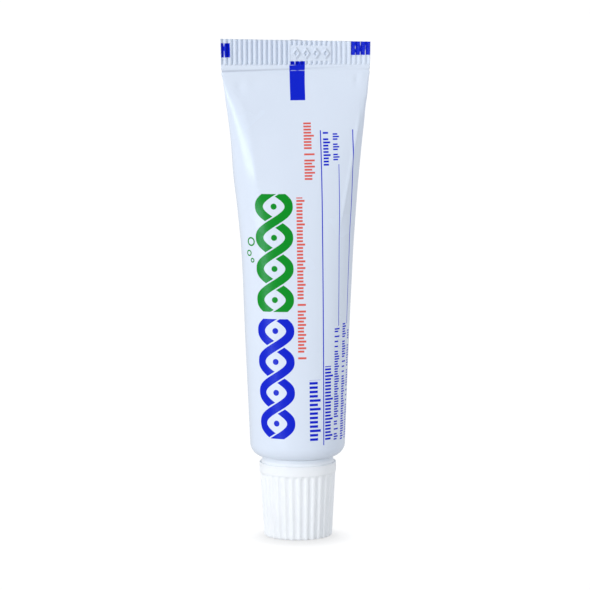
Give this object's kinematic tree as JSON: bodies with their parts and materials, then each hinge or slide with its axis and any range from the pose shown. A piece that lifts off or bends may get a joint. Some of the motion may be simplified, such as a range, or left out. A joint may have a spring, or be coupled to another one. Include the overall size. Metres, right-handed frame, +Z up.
{
  "type": "toothpaste tube",
  "caption": "Small laminate toothpaste tube standing on its fluted screw cap, with a flat ribbed end seal, a lapped back seam, a moulded shoulder and neck, and paste inside.",
  "frame": {"origin": "centre of the cap's foot, on the surface that the tube stands on", "axes": "+Z up from the cap's foot to the end seal, X along the flat seal, -Y out of the printed front"},
  "size_m": [0.0298, 0.0192, 0.0997],
  "materials": {
    "film": "glossy printed laminate",
    "shoulder": "satin moulded polyethylene",
    "paste": "smooth soft paste",
    "cap": "satin moulded polypropylene"
  },
  "bodies": {
    "cap": {"cap": "cap"},
    "tube": {"sleeve": "film", "shoulder_neck": "shoulder", "paste": "paste"}
  },
  "joints": [
    {"name": "cap_off", "type": "slide", "parent": "cap", "child": "tube", "axis": [0, 0, 1], "range_m": [0, 0.015]}
  ]
}
